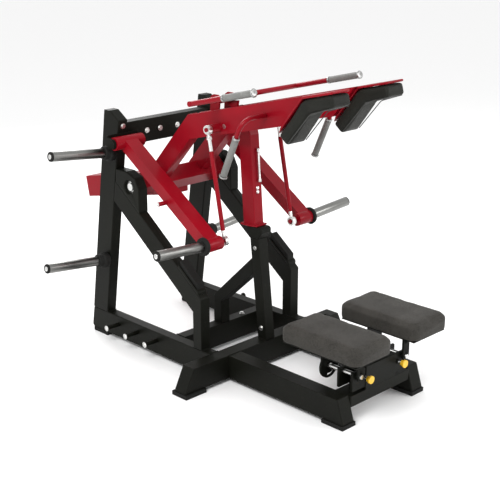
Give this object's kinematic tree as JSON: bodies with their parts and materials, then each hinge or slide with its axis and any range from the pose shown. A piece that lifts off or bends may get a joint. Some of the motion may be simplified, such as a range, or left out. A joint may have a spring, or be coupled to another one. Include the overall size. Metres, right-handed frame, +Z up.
{
  "type": "leg press machine",
  "caption": "Plate-loaded standing leg press: a red press arm with shoulder pads, two linked weight arms, a black tube frame and folding foot pads.",
  "frame": {"origin": "on the floor, at the middle of the machine's length and width", "axes": "+X to the user's right when facing the machine's rear, +Y from the foot pads towards the counterbalance tail, +Z up"},
  "size_m": [1.5028, 2.3, 1.5184],
  "materials": {
    "frame_paint": "satin",
    "arm_paint": "gloss",
    "steel": "satin",
    "zinc": "gloss",
    "rubber": "matt",
    "grip": "matt",
    "pad_vinyl": "satin",
    "foot_vinyl": "matt",
    "knob": "gloss"
  },
  "bodies": {
    "frame": {"uprights": "frame_paint", "side_rails": "frame_paint", "main_cross_beam": "frame_paint", "forward_rails": "frame_paint", "front_cross_tube": "frame_paint", "top_cross_tube": "frame_paint", "rear_cross_tube": "frame_paint", "braces": "frame_paint", "centre_post": "frame_paint", "centre_brace": "frame_paint", "post_saddle": "frame_paint", "bearing_housings": "frame_paint", "pivot_bearings": "zinc", "bumper_brackets": "frame_paint", "bumper_strips": "rubber", "rubber_feet": "rubber", "storage_horns": "steel", "storage_trim": "rubber", "band_pegs": "frame_paint", "hub_axles": "frame_paint", "pedestal": "frame_paint", "pad_shafts": "zinc", "pin_housings": "frame_paint", "frame_bolts": "zinc"},
    "press_arm": {"pivot_beam": "arm_paint", "arm_shafts": "zinc", "arm_leg_left": "arm_paint", "arm_leg_right": "arm_paint", "forearm_left": "arm_paint", "forearm_right": "arm_paint", "tail_beam": "arm_paint", "arm_tie": "arm_paint", "shoulder_pad_left": "pad_vinyl", "shoulder_pad_right": "pad_vinyl", "pad_plates": "arm_paint", "grip_rods": "arm_paint", "hand_grips": "grip", "lever_mount": "arm_paint"},
    "release_lever": {"lever_bar": "arm_paint", "lever_handles": "arm_paint", "lever_grips": "grip"},
    "prop_strut": {"prop_strut": "arm_paint"},
    "weight_arm_left": {"weight_arm_left": "arm_paint", "weight_horn_left": "steel", "horn_trim_left": "rubber"},
    "link_left": {"link_left": "arm_paint", "link_ends_left": "zinc"},
    "foot_pad_left": {"foot_pad_left": "foot_vinyl", "pad_tray_left": "frame_paint"},
    "pull_pin_left": {"pull_pin_left": "zinc", "pull_knob_left": "knob"},
    "weight_arm_right": {"weight_arm_right": "arm_paint", "weight_horn_right": "steel", "horn_trim_right": "rubber"},
    "link_right": {"link_right": "arm_paint", "link_ends_right": "zinc"},
    "foot_pad_right": {"foot_pad_right": "foot_vinyl", "pad_tray_right": "frame_paint"},
    "pull_pin_right": {"pull_pin_right": "zinc", "pull_knob_right": "knob"}
  },
  "joints": [
    {"name": "press_arm_swing", "type": "hinge", "parent": "frame", "child": "press_arm", "pos_m": [0, 0.38, 0.885], "axis": [-1, 0, 0], "range_deg": [0, 22]},
    {"name": "release_lever_swing", "type": "hinge", "parent": "press_arm", "child": "release_lever", "pos_m": [0, 0.044, 1.335], "axis": [-1, 0, 0], "range_deg": [0, 18]},
    {"name": "prop_strut_swing", "type": "hinge", "parent": "press_arm", "child": "prop_strut", "pos_m": [0, -0.138, 1.25], "axis": [-1, 0, 0], "range_deg": [-18, 0]},
    {"name": "weight_arm_left_swing", "type": "hinge", "parent": "frame", "child": "weight_arm_left", "pos_m": [-0.326, 0.409, 1.115], "axis": [-1, 0, 0], "range_deg": [0, 25.26]},
    {"name": "link_left_swing", "type": "hinge", "parent": "press_arm", "child": "link_left", "pos_m": [-0.24, -0.102, 1.239], "axis": [-1, 0, 0], "range_deg": [0, 12.13]},
    {"name": "foot_pad_left_flip", "type": "hinge", "parent": "frame", "child": "foot_pad_left", "pos_m": [-0.168, -0.916, 0.222], "axis": [0, -1, 0], "range_deg": [0, 75]},
    {"name": "pull_pin_left_pull", "type": "slide", "parent": "frame", "child": "pull_pin_left", "axis": [0, -1, 0], "range_m": [0, 0.016], "stiffness_N_per_m": 400},
    {"name": "weight_arm_right_swing", "type": "hinge", "parent": "frame", "child": "weight_arm_right", "pos_m": [0.326, 0.409, 1.115], "axis": [-1, 0, 0], "range_deg": [0, 25.26]},
    {"name": "link_right_swing", "type": "hinge", "parent": "press_arm", "child": "link_right", "pos_m": [0.24, -0.102, 1.239], "axis": [-1, 0, 0], "range_deg": [0, 12.13]},
    {"name": "foot_pad_right_flip", "type": "hinge", "parent": "frame", "child": "foot_pad_right", "pos_m": [0.168, -0.916, 0.222], "axis": [0, 1, 0], "range_deg": [0, 75]},
    {"name": "pull_pin_right_pull", "type": "slide", "parent": "frame", "child": "pull_pin_right", "axis": [0, -1, 0], "range_m": [0, 0.016], "stiffness_N_per_m": 400}
  ],
  "couplings": [
    {"joint": "prop_strut_swing", "follows": "release_lever_swing", "ratio": -1},
    {"joint": "weight_arm_left_swing", "follows": "press_arm_swing", "ratio": 1.1484},
    {"joint": "link_left_swing", "follows": "press_arm_swing", "ratio": 0.55154},
    {"joint": "weight_arm_right_swing", "follows": "press_arm_swing", "ratio": 1.1484},
    {"joint": "link_right_swing", "follows": "press_arm_swing", "ratio": 0.55154}
  ]
}
